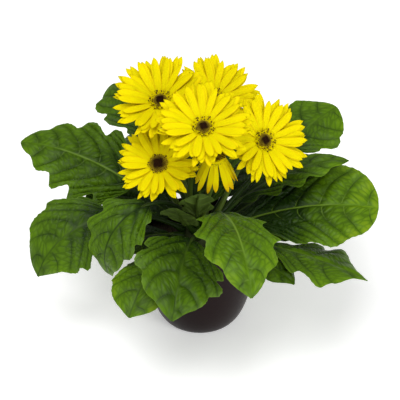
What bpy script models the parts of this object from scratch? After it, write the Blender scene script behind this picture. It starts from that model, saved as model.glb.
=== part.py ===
"""A potted gerbera daisy: a rosette of lobed leaves and six yellow blooms in a round dark pot.

Run it with: blender --background --python part.py
Sizes are in metres and angles in degrees. +Z is up, -Y is the front, and the origin is the
centre of the pot's flat underside.
"""

import math
from typing import NamedTuple

import bmesh
import bpy
from mathutils import Matrix, Vector

# Every piece keeps this much air to the one that carries it.
GAP = 0.0003

# The pot is turned: a flat foot, a round belly and a thick lip.
POT_HEIGHT = 0.100
POT_FOOT_RADIUS = 0.034
POT_BELLY_SWELL = 0.022
POT_BELLY_FULLNESS = 2.2
POT_SHOULDER_EASE = 0.6
POT_WALL = 0.0022
POT_FLOOR = 0.003
LIP_HEIGHT = 0.006
LIP_REACH = 0.002
LIP_ROUNDING = 0.001
POT_SEGMENTS = 32
POT_BANDS = 7
POT_BAND_CROWDING = 1.6

# The root ball fills the pot to just under the lip, with a flat middle that the crown sits on.
SOIL_TOP = 0.090
SOIL_EDGE_DROP = 0.002
SOIL_MIDDLE_RADIUS = 0.024

# The crown is the short stem base. Leaf stalks and flower stems leave it square to its dome.
CROWN_RADIUS = 0.020
CROWN_CENTRE = Vector((0.0, 0.0, SOIL_TOP + GAP))
CROWN_SEGMENTS = 24
CROWN_BANDS = 5

# A leaf's rib is walked in short steps, and its skin has eight points round each station.
RIB_STEPS = 120
STALK_STATIONS = 5
BLADE_STATIONS = 15
BLADE_START = 0.02
STALK_RADIUS = 0.0024
STALK_TAPER = 0.75
RIB_TIP_DEPTH = 0.0011
BLADE_HALF_THICKNESS = 0.00105
TIP_THINNING = 0.45
TIP_HALF_WIDTH = 0.0012
BASE_BLUNTNESS = 0.60
MARGIN_FORWARD = 0.20
MARGIN_CURVE = 1.5
CUP_CURVE = 1.6
LOBE_STAGGER = 0.12
LOBE_LEAN = 0.6
LOBE_DEPTH_AT_BASE = 1.15
LOBE_DEPTH_LOSS = 0.5
RUFFLE = 0.055
RUFFLE_STAGGER = 0.9

# A bloom: two rows of rays on a flat core, a domed eye above it and a cup of bracts below.
RAYS_IN_ROW = 16
CORE_RADIUS = 0.0088
CORE_HEIGHT = 0.0030
RAY_HALF_THICKNESS = 0.00042
RAY_HALF_WIDTH = 0.0047
RAY_STRETCHES = ((0.64, 1.0), (1.0, 0.50))
RAY_SAG = 0.10
ROW_LIFT = 7.0
ROW_SHORTER = 0.13
RAY_LENGTH_SPREAD = 0.05
RAY_LIFT_SPREAD = 2.5
FULL_RADIUS = 0.050
EYE_RADIUS = 0.0086
EYE_HEIGHT = 0.0036
EYE_DIMPLE = 0.0010
EYE_SEGMENTS = 16
EYE_BANDS = 3
CUP_DEPTH = 0.0100
CUP_RADIUS = 0.0084
CUP_SEGMENTS = 16
BRACT_TIP_SIZE = 0.4
CUP_FOOT_FLARE = 1.25
CUP_PROFILE = ((0.72, 0.62), (0.97, 0.28))  # (share of its radius, share of its depth)

# The flower stems taper a little towards the bloom.
STEM_RADIUS = 0.0027
STEM_TOP_SHARE = 0.80
STEM_POINTS = 8
STEM_FOOT_PULL = 0.42
STEM_TOP_PULL = 0.34

LEAF_GREEN = (0.075, 0.150, 0.018, 1.0)
STEM_GREEN = (0.130, 0.220, 0.040, 1.0)
RAY_YELLOW = (0.860, 0.700, 0.004, 1.0)
EYE_BROWN = (0.080, 0.035, 0.006, 1.0)
POT_BROWN = (0.030, 0.024, 0.023, 1.0)
SOIL_BROWN = (0.025, 0.016, 0.010, 1.0)
CROWN_GREEN = (0.110, 0.140, 0.045, 1.0)


class Leaf(NamedTuple):
    """One leaf. The azimuth runs from +X towards the back, seen from above."""

    name: str
    azimuth: float
    rise: float  # pitch where it leaves the crown
    droop: float  # pitch at its tip
    stalk: float
    blade: float
    half_width: float
    sweep: float = 0.0  # sideways bend from foot to tip
    roll: float = 0.0  # turn of the blade about its rib
    lobes: float = 4.0
    lobe_depth: float = 0.22
    phase: float = 0.0  # shifts the lobes along the rib, in lobes
    widest: float = 0.50  # share of the blade's length with the widest place
    bluntness: float = 0.80  # small for a round end, 1 and over for a pointed one
    cup: float = -0.12  # edges above the rib, or below it where negative
    bend: float = 1.3  # over 1 keeps the stalk straighter than the blade


class Bloom(NamedTuple):
    """One bloom on its stem. The place is the middle of the underside of its core."""

    name: str
    place: tuple
    facing: float  # azimuth that it looks towards
    tilt: float  # pitch of its axis
    radius: float
    stem_azimuth: float
    stem_rise: float
    lift: float = 9.0  # pitch of the outer rays above the core's plane
    bract_reach: float = 0.0045


LEAVES = [
    Leaf("leaf_left_long", 156, 35, -10, 0.060, 0.128, 0.047, sweep=2, roll=-25,
         lobes=4.5, lobe_depth=0.3, phase=0.18, widest=0.35, bluntness=0.7, bend=1.37),
    Leaf("leaf_left_low", 190, 37, -75, 0.076, 0.100, 0.040, sweep=15, roll=-33,
         lobe_depth=0.14, phase=-0.03, widest=0.46, bluntness=0.92, bend=1.34),
    Leaf("leaf_left_hidden", 140, 17, -22, 0.015, 0.163, 0.042, lobe_depth=0.18, widest=0.38),
    Leaf("leaf_front_left", 213, 67, -130, 0.070, 0.102, 0.033, sweep=6, roll=-11,
         phase=0.58, widest=0.39, bluntness=0.96, bend=1.32),
    Leaf("leaf_front_left_low", 239, 22, -42, 0.030, 0.100, 0.033, sweep=9, roll=2, lobes=4,
         lobe_depth=0.12, phase=0.07, widest=0.62, bluntness=0.82, bend=1.58),
    Leaf("leaf_front", 261, 38, -46, 0.034, 0.115, 0.044, sweep=-1, roll=-21,
         lobe_depth=0.2, phase=0.39, widest=0.49, bluntness=0.84),
    Leaf("leaf_young", 238, 52, 58, 0.020, 0.042, 0.020, sweep=14, lobes=3, lobe_depth=0.08),
    Leaf("leaf_inner_left", 204, 26, -30, 0.012, 0.064, 0.026, lobes=3, lobe_depth=0.10),
    Leaf("leaf_inner_right", 258, 69, 46, 0.020, 0.058, 0.018, sweep=24, lobes=2.5, lobe_depth=0.30),
    Leaf("leaf_front_right", 292, 59, -53, 0.063, 0.130, 0.040, sweep=-13, roll=-9,
         lobe_depth=0.24, phase=-0.21, widest=0.48, bend=1.37),
    Leaf("leaf_right_under", 312, 20, -21, 0.040, 0.069, 0.022, sweep=5, roll=-4,
         lobes=3, lobe_depth=0.1, widest=0.49, bluntness=0.81, bend=1.46),
    Leaf("leaf_right_low", 328, 19, -20, 0.050, 0.109, 0.038, sweep=12, roll=-11, lobes=3.5,
         lobe_depth=0.3, phase=0.34, widest=0.60, bluntness=0.98, bend=1.13),
    Leaf("leaf_right_wide", 355, 30, -9, 0.018, 0.142, 0.051, roll=18, lobes=3.5, lobe_depth=0.05,
         phase=0.04, widest=0.615, bluntness=0.46, cup=0.05),
    Leaf("leaf_right_inner", 0, 16, -18, 0.015, 0.095, 0.022, lobes=3, lobe_depth=0.10),
    Leaf("leaf_right_behind", 13, 47, -5, 0.032, 0.118, 0.028, sweep=-12, roll=-2,
         lobes=4.5, lobe_depth=0.3, phase=0.02, bluntness=0.79, bend=1.48),
    Leaf("leaf_back_right", 40, 34, 6, 0.101, 0.077, 0.036, sweep=1, roll=15,
         lobes=3, lobe_depth=0.12, phase=-0.1, widest=0.51, bluntness=0.65, bend=1.33),
    Leaf("leaf_back_left", 120, 44, -5, 0.075, 0.109, 0.037, sweep=-1, roll=-3,
         lobe_depth=0.2, phase=-0.22, widest=0.62, bluntness=0.71, bend=1.21),
    Leaf("leaf_back", 90, 34, -14, 0.012, 0.170, 0.046, lobe_depth=0.20, widest=0.40),
    Leaf("leaf_back_low_left", 111, 22, -32, 0.035, 0.148, 0.040, phase=0.3),
    Leaf("leaf_back_low_right", 66, 16, -24, 0.035, 0.148, 0.040, phase=0.6),
    Leaf("leaf_right_back_low", 30, 22, -22, 0.012, 0.158, 0.037, lobe_depth=0.18, widest=0.45),
]

BLOOMS = [
    Bloom("bloom_front", (0.0030, -0.0270, 0.2330), 276, 62, 0.0470, 178, 75, lift=17),
    Bloom("bloom_left_high", (-0.0364, 0.0164, 0.2345), 256, 62, 0.0480, 128, 64, lift=19),
    Bloom("bloom_left_low", (-0.0380, -0.0166, 0.1865), 257, 54, 0.0410, 176, 60, lift=15),
    Bloom("bloom_right", (0.0584, -0.0060, 0.2062), 303, 40, 0.0450, 340, 62, lift=14),
    Bloom("bloom_back", (0.0130, 0.0450, 0.2190), 285, 55, 0.0460, 60, 66, lift=14),
    Bloom("bloom_low", (0.0140, -0.0255, 0.2005), 270, 78, 0.0380, 300, 80, lift=-70, bract_reach=0.0006),
]


def smooth(x):
    """0 below 0 and 1 above 1, with a soft start and end between them."""
    x = min(1.0, max(0.0, x))
    return x * x * (3 - 2 * x)


def heading(azimuth, pitch):
    """The direction with that azimuth and that pitch above the horizon."""
    a, p = math.radians(azimuth), math.radians(pitch)
    return Vector((math.cos(p) * math.cos(a), math.cos(p) * math.sin(a), math.sin(p)))


def scatter(index, salt):
    """A steady number from -1 to 1 that looks random from one index to the next."""
    return math.sin(12.9898 * index + 78.233 * salt + 1.3 * index * salt)


def material(name, colour, roughness, metallic=0.0):
    made = bpy.data.materials.new(name)
    made.use_nodes = True
    shader = made.node_tree.nodes["Principled BSDF"]
    shader.inputs["Base Color"].default_value = colour
    shader.inputs["Roughness"].default_value = roughness
    shader.inputs["Metallic"].default_value = metallic
    made.diffuse_color = colour
    return made


def add_object(name, data, finish):
    obj = bpy.data.objects.new(name, data)
    data.materials.append(finish)
    bpy.context.scene.collection.objects.link(obj)
    return obj


def add_solid(name, bm, finish):
    """Closes off a bmesh as one object, shaded smooth but for its sharp edges."""
    bmesh.ops.recalc_face_normals(bm, faces=bm.faces)
    mesh = bpy.data.meshes.new(name)
    bm.to_mesh(mesh)
    bm.free()
    mesh.shade_smooth()
    mesh.set_sharp_from_angle(angle=math.radians(40))
    return add_object(name, mesh, finish)


def turned(profile, segments):
    """A solid of revolution about Z. The profile is (radius, height) points from axis to axis."""
    bm = bmesh.new()
    points = [bm.verts.new((radius, 0.0, height)) for radius, height in profile]
    edges = [bm.edges.new(pair) for pair in zip(points, points[1:])]
    bmesh.ops.spin(
        bm,
        geom=points + edges,
        cent=(0, 0, 0),
        axis=(0, 0, 1),
        angle=math.tau,
        steps=segments,
        use_merge=True,
        use_duplicate=False,
    )
    bmesh.ops.remove_doubles(bm, verts=bm.verts, dist=1e-6)
    return bm


def belly_radius(height):
    """The pot's outer radius below its lip."""
    share = 1 - (1 - height / POT_HEIGHT) ** POT_BELLY_FULLNESS
    return POT_FOOT_RADIUS + POT_BELLY_SWELL * share**POT_SHOULDER_EASE


def band_heights(low, high):
    """Heights that lie closer together near the foot, where the belly turns fastest."""
    shares = [(i / POT_BANDS) ** POT_BAND_CROWDING for i in range(POT_BANDS + 1)]
    return [low + (high - low) * share for share in shares]


def make_pot():
    lip_base = POT_HEIGHT - LIP_HEIGHT
    lip_radius = belly_radius(lip_base) + LIP_REACH
    mouth = lip_radius - LIP_REACH - POT_WALL
    outside = [(belly_radius(h), h) for h in band_heights(0.0, lip_base)]
    lip = [
        (lip_radius, lip_base + LIP_ROUNDING),
        (lip_radius, POT_HEIGHT - LIP_ROUNDING),
        (lip_radius - LIP_ROUNDING, POT_HEIGHT),
        (mouth + LIP_ROUNDING, POT_HEIGHT),
        (mouth, POT_HEIGHT - LIP_ROUNDING),
    ]
    inside = [(belly_radius(h) - POT_WALL, h) for h in band_heights(POT_FLOOR, lip_base)]
    profile = [(0.0, 0.0), *outside, *lip, *reversed(inside), (0.0, POT_FLOOR)]
    add_solid("pot", turned(profile, POT_SEGMENTS), material("pot_plastic", POT_BROWN, 0.42))


def make_root_ball():
    low = POT_FLOOR + GAP
    clear = POT_WALL + 2 * GAP
    side = [(belly_radius(h) - clear, h) for h in band_heights(low, SOIL_TOP - SOIL_EDGE_DROP)]
    profile = [(0.0, low), *side, (SOIL_MIDDLE_RADIUS, SOIL_TOP), (0.0, SOIL_TOP)]
    add_solid("root_ball", turned(profile, POT_SEGMENTS), material("potting_soil", SOIL_BROWN, 0.95))


def make_crown():
    angles = [math.pi / 2 * i / CROWN_BANDS for i in range(CROWN_BANDS)]
    dome = [(CROWN_RADIUS * math.cos(a), CROWN_RADIUS * math.sin(a)) for a in angles]
    bm = turned([(0.0, 0.0), *dome, (0.0, CROWN_RADIUS)], CROWN_SEGMENTS)
    bmesh.ops.translate(bm, verts=bm.verts, vec=CROWN_CENTRE)
    add_solid("crown", bm, material("crown_skin", CROWN_GREEN, 0.7))


def rib_frames(leaf):
    """Places along a leaf's rib with its forward, rightward and upward directions there."""
    length = leaf.stalk + leaf.blade
    spot = CROWN_CENTRE + heading(leaf.azimuth, leaf.rise) * (CROWN_RADIUS + GAP)
    frames = []
    for i in range(RIB_STEPS + 1):
        share = i / RIB_STEPS
        azimuth = leaf.azimuth + leaf.sweep * share
        forward = heading(azimuth, leaf.rise + (leaf.droop - leaf.rise) * share**leaf.bend)
        turn = math.radians(leaf.roll) * smooth(share * length / leaf.stalk)
        right = Matrix.Rotation(turn, 3, forward) @ heading(azimuth - 90, 0)
        frames.append((spot.copy(), forward, right, right.cross(forward)))
        spot += forward * (length / RIB_STEPS)
    return frames


def frame_at(frames, share):
    """The rib's frame at a share of its whole length."""
    at = min(share, 0.99999) * RIB_STEPS
    low = int(at)
    return [a.lerp(b, at - low) for a, b in zip(frames[low], frames[low + 1])]


def half_width(leaf, t, side):
    """The blade's half width at share t of its length, on its right (1) or left (-1) side."""
    power = leaf.bluntness if t > leaf.widest else BASE_BLUNTNESS
    swell = math.sin(math.pi * t ** (math.log(0.5) / math.log(leaf.widest)))
    turn = math.tau * (leaf.lobes * t + leaf.phase + LOBE_STAGGER * side)
    notch = (0.5 + 0.5 * math.cos(turn + LOBE_LEAN * math.sin(turn))) ** 2
    full = leaf.half_width * max(0.0, swell) ** power
    depth = leaf.lobe_depth * (LOBE_DEPTH_AT_BASE - LOBE_DEPTH_LOSS * t)
    return max(TIP_HALF_WIDTH, full * (1 - depth * notch))


def blade_point(leaf, frames, t, across, lift):
    """A point of the blade at a share of its half width, lift above its middle surface."""
    share = (leaf.stalk + leaf.blade * t) / (leaf.stalk + leaf.blade)
    spot, forward, right, up = frame_at(frames, share)
    width = half_width(leaf, t, math.copysign(1, across))
    edge = abs(across)
    wave = math.cos(math.tau * leaf.lobes * t + math.copysign(RUFFLE_STAGGER, across))
    rise = width * (leaf.cup * edge**CUP_CURVE + RUFFLE * wave * edge**2) + lift
    ahead = MARGIN_FORWARD * width * edge**MARGIN_CURVE * (1 - t)
    return spot + right * (across * width) + forward * ahead + up * rise


def stalk_ring(leaf, frames, share, radius):
    """Eight points round the stalk, from its left side over the top."""
    spot, _, right, up = frame_at(frames, share)
    turns = [math.pi - math.tau * i / 8 for i in range(8)]
    return [spot + (right * math.cos(a) + up * math.sin(a)) * radius for a in turns]


def blade_ring(leaf, frames, t):
    """Eight points round the blade: left edge, three on top, right edge, three below."""
    thin = BLADE_HALF_THICKNESS * (1 - TIP_THINNING * t)
    keel = STALK_RADIUS * STALK_TAPER * (1 - t) + RIB_TIP_DEPTH * t
    top = [(-1, 0), (-0.5, thin), (0, 0.5 * thin), (0.5, thin)]
    below = [(1, 0), (0.5, -thin), (0, -keel), (-0.5, -thin)]
    return [blade_point(leaf, frames, t, across, lift) for across, lift in top + below]


def drawn_through(rings):
    """A closed body drawn out from its first ring of points through all the others."""
    bm = bmesh.new()
    foot = [bm.verts.new(point) for point in rings[0]]
    end = bm.faces.new(foot)
    for ring in rings[1:]:
        end = bmesh.ops.extrude_discrete_faces(bm, faces=[end])["faces"][0]
        for vert, point in zip(end.verts, ring):
            vert.co = point
    bm.faces.new(reversed(foot))
    return bm


def make_leaf(leaf, finish):
    frames = rib_frames(leaf)
    rings = []
    for i in range(STALK_STATIONS):
        share = i / STALK_STATIONS
        radius = STALK_RADIUS * (1 - (1 - STALK_TAPER) * share)
        rings.append(stalk_ring(leaf, frames, share * leaf.stalk / (leaf.stalk + leaf.blade), radius))
    for i in range(BLADE_STATIONS):
        t = BLADE_START + (1 - BLADE_START) * i / (BLADE_STATIONS - 1)
        rings.append(blade_ring(leaf, frames, t))
    add_solid(leaf.name, drawn_through(rings), finish)


def bloom_matrix(bloom):
    axis = heading(bloom.facing, bloom.tilt)
    return Matrix.Translation(bloom.place) @ axis.to_track_quat("Z", "Y").to_matrix().to_4x4()


def ray_middle(bloom, row, index, share):
    """(distance from the axis, height) of a ray's middle line at a share of its length."""
    spread = RAY_LENGTH_SPREAD * scatter(index, row + 1)
    length = (bloom.radius - CORE_RADIUS) * (1 - ROW_SHORTER * row + spread)
    tip_lift = RAY_LIFT_SPREAD * scatter(index, row + 3)
    pitch = math.radians(bloom.lift + ROW_LIFT * row + tip_lift)
    base = CORE_HEIGHT * (0.25 + 0.5 * row)
    sag = RAY_SAG * share**2 * length
    return CORE_RADIUS + length * share * math.cos(pitch), base + length * share * math.sin(pitch) - sag


def draw_ray(bm, face, bloom, row, index):
    """Draws one ray out of a face on the core's side."""
    turn = math.tau * (2 * index + row + 0.5) / (2 * RAYS_IN_ROW)
    outward = Vector((math.cos(turn), math.sin(turn), 0.0))
    sideways = Vector((-outward.y, outward.x, 0.0))
    middle = face.calc_center_median().z
    for share, width in RAY_STRETCHES:
        face = bmesh.ops.extrude_discrete_faces(bm, faces=[face])["faces"][0]
        radius, height = ray_middle(bloom, row, index, share)
        half = RAY_HALF_WIDTH * width * bloom.radius / FULL_RADIUS
        for corner in face.verts:
            side = math.copysign(half, corner.co.dot(sideways))
            level = math.copysign(RAY_HALF_THICKNESS, corner.co.z - middle)
            corner.co = outward * radius + sideways * side + Vector((0, 0, height + level))
        middle = height


def make_rays(bloom, finish):
    """Both rows of rays and the core that they stand on, as one body."""
    sides = 2 * RAYS_IN_ROW
    wall = [(CORE_RADIUS, 0.0), (CORE_RADIUS, CORE_HEIGHT / 2), (CORE_RADIUS, CORE_HEIGHT)]
    bm = turned([(0.0, 0.0), *wall, (0.0, CORE_HEIGHT)], sides)
    for face in [f for f in bm.faces if abs(f.normal.z) < 0.5]:
        centre = face.calc_center_median()
        row = int(centre.z > CORE_HEIGHT / 2)
        place = round(math.atan2(centre.y, centre.x) / math.tau * sides - 0.5) % sides
        if place % 2 == row:
            draw_ray(bm, face, bloom, row, place // 2)
    made = add_solid(bloom.name + "_rays", bm, finish)
    made.matrix_world = bloom_matrix(bloom)


def make_eye(bloom, finish):
    """The low dome of disc florets, dimpled in the middle."""
    base = CORE_HEIGHT + GAP
    angles = [math.pi / 2 * i / EYE_BANDS for i in range(EYE_BANDS)]
    dome = [(EYE_RADIUS * math.cos(a), base + EYE_HEIGHT * math.sin(a)) for a in angles]
    profile = [(0.0, base), *dome, (0.0, base + EYE_HEIGHT - EYE_DIMPLE)]
    made = add_solid(bloom.name + "_eye", turned(profile, EYE_SEGMENTS), finish)
    made.matrix_world = bloom_matrix(bloom)


def draw_bract(bm, face, reach):
    """Draws a bract's point out of a face on the cup's rim."""
    tip = bmesh.ops.extrude_discrete_faces(bm, faces=[face])["faces"][0]
    centre = tip.calc_center_median()
    outward = Vector((centre.x, centre.y, 0.0)).normalized() * reach
    for corner in tip.verts:
        corner.co = centre + outward + (corner.co - centre) * BRACT_TIP_SIZE


def make_bracts(bloom, finish):
    """The green cup under the rays, with every other side of its rim drawn out into a bract."""
    foot = CUP_FOOT_FLARE * STEM_RADIUS * STEM_TOP_SHARE
    belly = [(across * CUP_RADIUS, -down * CUP_DEPTH) for across, down in CUP_PROFILE]
    profile = [(0.0, -CUP_DEPTH), (foot, -CUP_DEPTH), *belly, (CUP_RADIUS, -GAP), (0.0, -GAP)]
    bm = turned(profile, CUP_SEGMENTS)
    rim = [f for f in bm.faces if -0.2 * CUP_DEPTH < f.calc_center_median().z < -2 * GAP]
    rim.sort(key=lambda f: math.atan2(f.calc_center_median().y, f.calc_center_median().x))
    for face in rim[::2]:
        draw_bract(bm, face, bloom.bract_reach)
    made = add_solid(bloom.name + "_bracts", bm, finish)
    made.matrix_world = bloom_matrix(bloom)


def make_stem(bloom, finish):
    """A tapering stem, square to the crown's dome at its foot and to the bracts at its top."""
    start_way = heading(bloom.stem_azimuth, bloom.stem_rise)
    end_way = heading(bloom.facing, bloom.tilt)
    start = CROWN_CENTRE + start_way * (CROWN_RADIUS + GAP)
    end = Vector(bloom.place) - end_way * (CUP_DEPTH + GAP)
    reach = (end - start).length
    curve = bpy.data.curves.new(bloom.name + "_stem", "CURVE")
    curve.dimensions = "3D"
    curve.resolution_u = STEM_POINTS
    curve.bevel_depth = STEM_RADIUS
    curve.bevel_resolution = 2
    curve.use_fill_caps = True
    spline = curve.splines.new("BEZIER")
    spline.bezier_points.add(1)
    ends = [(start, start_way, STEM_FOOT_PULL), (end, end_way, STEM_TOP_PULL)]
    for point, (place, way, pull) in zip(spline.bezier_points, ends):
        point.handle_left_type = "FREE"
        point.handle_right_type = "FREE"
        point.co = place
        point.handle_left = place - way * reach * pull
        point.handle_right = place + way * reach * pull
    spline.bezier_points[1].radius = STEM_TOP_SHARE
    add_object(curve.name, curve, finish)


def main():
    for obj in list(bpy.data.objects):
        bpy.data.objects.remove(obj)
    make_pot()
    make_root_ball()
    make_crown()
    leaf_green = material("leaf_green", LEAF_GREEN, 0.5)
    for leaf in LEAVES:
        make_leaf(leaf, leaf_green)
    stem_green = material("stem_green", STEM_GREEN, 0.55)
    ray_yellow = material("ray_yellow", RAY_YELLOW, 0.55)
    eye_brown = material("eye_brown", EYE_BROWN, 0.8)
    for bloom in BLOOMS:
        make_stem(bloom, stem_green)
        make_bracts(bloom, stem_green)
        make_rays(bloom, ray_yellow)
        make_eye(bloom, eye_brown)


main()
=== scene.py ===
"""Potted gerbera daisy: the finished plant, grown over its fixed solids.

Run it as a script in Blender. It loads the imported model, registers a sidebar panel with one
operator for each kind of piece, and runs the operators in order. Lengths are in metres, and the
tables' angles are in degrees. +Z is up, -Y is the front, and the origin is the centre of the
pot's flat underside.
"""

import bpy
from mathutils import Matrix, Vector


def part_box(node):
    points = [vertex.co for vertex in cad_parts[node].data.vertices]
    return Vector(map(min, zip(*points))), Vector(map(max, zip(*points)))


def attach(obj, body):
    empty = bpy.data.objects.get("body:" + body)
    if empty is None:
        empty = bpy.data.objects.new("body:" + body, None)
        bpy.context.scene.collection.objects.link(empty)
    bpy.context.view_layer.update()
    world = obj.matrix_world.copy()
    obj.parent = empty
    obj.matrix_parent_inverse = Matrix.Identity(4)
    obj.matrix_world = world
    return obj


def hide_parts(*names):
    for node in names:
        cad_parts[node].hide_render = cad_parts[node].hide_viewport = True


bl_info = {
    "name": "Potted gerbera daisy",
    "version": (1, 0, 0),
    "blender": (4, 5, 0),
    "location": "3D View > Sidebar > Daisy",
    "description": "Grows a potted gerbera daisy with quilted leaves and yellow blooms",
    "category": "Add Mesh",
}

import math
from functools import partial
from typing import NamedTuple

import bmesh
import bpy
from bpy.props import FloatProperty, FloatVectorProperty, IntProperty, PointerProperty
from bpy.types import Operator, Panel, PropertyGroup
from mathutils import Matrix, Vector, noise

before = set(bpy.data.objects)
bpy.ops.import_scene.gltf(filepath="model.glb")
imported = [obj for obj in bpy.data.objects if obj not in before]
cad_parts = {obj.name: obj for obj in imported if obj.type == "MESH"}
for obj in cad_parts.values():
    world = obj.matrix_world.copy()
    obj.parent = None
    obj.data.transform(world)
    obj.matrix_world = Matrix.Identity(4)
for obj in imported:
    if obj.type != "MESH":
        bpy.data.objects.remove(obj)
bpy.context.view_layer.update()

# Every piece keeps this much air to the one that carries it.
GAP = 0.0003

# Corners of a mesh that are closer together than this are one.
SAME_PLACE = 1e-6

# The pot, the soil in it and the crown, as in the solids.
POT_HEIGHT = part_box("pot")[1].z
POT_FOOT_RADIUS = 0.034
POT_BELLY_SWELL = 0.022
POT_BELLY_FULLNESS = 2.2
POT_SHOULDER_EASE = 0.6
POT_BAND_CROWDING = 1.6
POT_WALL = 0.0022
POT_FLOOR = 0.003
LIP_HEIGHT = 0.006
LIP_REACH = 0.002
SOIL_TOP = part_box("root_ball")[1].z
SOIL_EDGE_DROP = 0.002
SOIL_MIDDLE_RADIUS = 0.024
CROWN_RADIUS = 0.020
CROWN_CENTRE = Vector((0.0, 0.0, SOIL_TOP + GAP))

# The finer soil and crown: lumps, loose crumbs, and low ribs under the crown's wool.
TURNED_SIDES = 96
SOIL_RINGS = 22
SOIL_SLOPE_WIDTH = 0.03
SOIL_LUMP = 0.0006
SOIL_LUMP_SCALE = 260
SOIL_BANDS = 10
GOLDEN_TURN = math.pi * (3 - math.sqrt(5))
CRUMB_CLEARANCE = 0.002
CRUMB_SIZE_SPREAD = 0.6
CRUMB_SHOWS = 0.3
CRUMB_FLATNESS = 0.7
CROWN_BANDS = 20
CROWN_SHRINKAGE = 0.975
CROWN_FOOT_HEIGHT = 0.004
CROWN_RIBS = 19
CROWN_RIB_LEAN = 40
CROWN_RIB_DEPTH = 0.012
CROWN_WOOL_DEPTH = 0.02
CROWN_WOOL_SCALE = 300
CROWN_RELIEF = 0.8

# A leaf's rib and outline, as in the solids.
RIB_STEPS = 120
STALK_RADIUS = 0.0024
STALK_TAPER = 0.75
TIP_HALF_WIDTH = 0.0012
BASE_BLUNTNESS = 0.60
MARGIN_FORWARD = 0.20
MARGIN_CURVE = 1.5
CUP_CURVE = 1.6
LOBE_STAGGER = 0.12
LOBE_DEPTH_AT_BASE = 1.15
LOBE_DEPTH_LOSS = 0.5
RUFFLE = 0.055
RUFFLE_STAGGER = 0.9

# A leaf's finer growth: leaning lobes, small teeth, lateral veins and the net between them.
LOBE_LEAN = 0.5
TEETH_IN_LOBE = 5
TOOTH_DEPTH = 0.020
TAIL_START = 0.76
TAIL_END = 0.90
VEIN_SWEEP = 0.52
VEIN_CURVE = 2.2
VEIN_WANDER = 0.14
WANDER_ALONG = 4.5
WANDER_ACROSS = 1.8
VEIN_SHARE_ALONG = 0.60
VEIN_SHARE_OUT = 0.80
STAGGER_REACH = 0.03
SWELL_SPACING = 0.007
SWELLS_BETWEEN_VEINS = 1.3
SMOOTH_RIM = 0.006
SMOOTH_START = 0.08
SMOOTH_TIP = 0.10
RIB_CLEARANCE = 0.004
RIB_GROOVE_WIDTH = 0.0035
RIB_TIP_RADIUS = 0.00045
RIB_SHOWS = 0.00015
RIB_REACH = 0.985
RIB_SINKS_OVER = 0.12
STALK_FOOT_FLARE = 0.5
STALK_FOOT_REACH = 0.014
STALK_SIDES = 12
NET_SPACING = 0.0044
NET_IN_SPACE = 1.7
LEAF_NUMBERS = ("along", "edge", "off_rib", "vein", "run", "tone", "pale", "shade")
STALK_CELL = 0.003

# A bloom, as in the solids.
RAYS_IN_ROW = 16
CORE_RADIUS = 0.0088
CORE_HEIGHT = 0.0030
RAY_SAG = 0.10
RAY_LENGTH_SPREAD = 0.05
RAY_LIFT_SPREAD = 2.5
FULL_RADIUS = 0.050
CUP_DEPTH = 0.0100
CUP_RADIUS = 0.0084
CUP_FOOT_FLARE = 1.25
CUP_PROFILE = ((0.72, 0.62), (0.97, 0.28))  # (share of its radius, share of its depth)
STEM_RADIUS = 0.0027
STEM_TOP_SHARE = 0.80
STEM_FOOT_PULL = 0.42
STEM_TOP_PULL = 0.34

# A bloom's finer growth. The solids have the first two of these rows of rays.
RAY_ROWS = (  # (share of a spacing that it is turned by, length, pitch, height of its root)
    (0.0, 1.00, 0.0, 0.25),
    (0.5, 0.87, 7.0, 0.75),
    (0.25, 0.98, 3.0, 0.45),
    (0.75, 0.90, 10.0, 0.95),
)
FIRST_RAY_TURN = 0.25
RAY_CELLS = (6, 14)
FLORET_CELLS = (2, 6)
BRACT_CELLS = (2, 8)
PETAL_THICKNESS = 0.0005
RAY_ROOT_SHARE = 0.66
RAY_WIDEST = 0.50
RAY_TIP_START = 0.68
RAY_TIP_ROUNDNESS = 2.0
RAY_TIP_TAPER = 0.72
RAY_TIP_LEAST = 0.05
RAY_TURN_SPREAD = 0.06
RAY_WIDTH_SPREAD = 0.10
RAY_GROOVES = 3
RAY_GROOVE = 0.00014
RAY_FOLD = 0.10
RAY_FOLD_SPREAD = 0.6
RAY_CHANNEL = 0.30
RAY_SWAY = 0.0030
RAY_TWIST = 0.40
RAY_SHORTFALL = 0.022
RAY_ROOT_DEPTH = 0.0016
RAY_NOTCH = 0.0005
PETAL_NUMBERS = ("along", "across", "tone")
BLUSHED_ABOVE = 0.75
FLORET_RINGS = (  # (florets, distance of their roots from the axis, length, pitch)
    (22, 0.0057, 0.0026, 72.0),
    (26, 0.0063, 0.0033, 64.0),
    (30, 0.0071, 0.0041, 56.0),
)
FLORET_HALF_WIDTH = 0.0011
FLORET_BEND = 22.0
FLORET_TURN_SPREAD = 0.35
FLORET_LENGTH_SPREAD = 0.25
FLORET_SHORTER_WHEN_RIPE = 0.5
DISC_FLORETS = 170
DISC_RADIUS = 0.0070
DISC_HEIGHT = 0.0030
DISC_CORE_SHARE = 0.8
DISC_BANDS = 6
DISC_SIDES = 32
DISC_ROUNDNESS = 2.5
DISC_DIMPLE = 0.0009
DISC_DIMPLE_RADIUS = 0.35
DISC_SPREAD_WHEN_RIPE = 0.28
BUD_SIZE = 0.00046
BUD_GROWTH = 0.00014
BUD_STRETCH = 1.9
SPECK_SHARES = (0.85, 0.70, 0.40)
SPECK_SIZE = 0.00052
SPECK_SIZE_SPREAD = 0.3
SPECK_STRETCH = 1.7
CUP_SIDES = 48
CUP_BANDS = 12
BRACTS_IN_ROW = 13
BRACT_HALF_WIDTH = 0.0019
BRACT_CLEARANCE = 0.0002
BRACT_ON_CUP = 0.6
BRACT_ROOT = 0.92
BRACT_ROW_STEP = 0.30
BRACT_BEND = 0.0008
BRACT_SAG = 0.0012
STEM_STEPS = 48
STEM_SIDES = 28
STEM_NUMBERS = ("along", "edge")
STEM_RIDGES = 7
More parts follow.
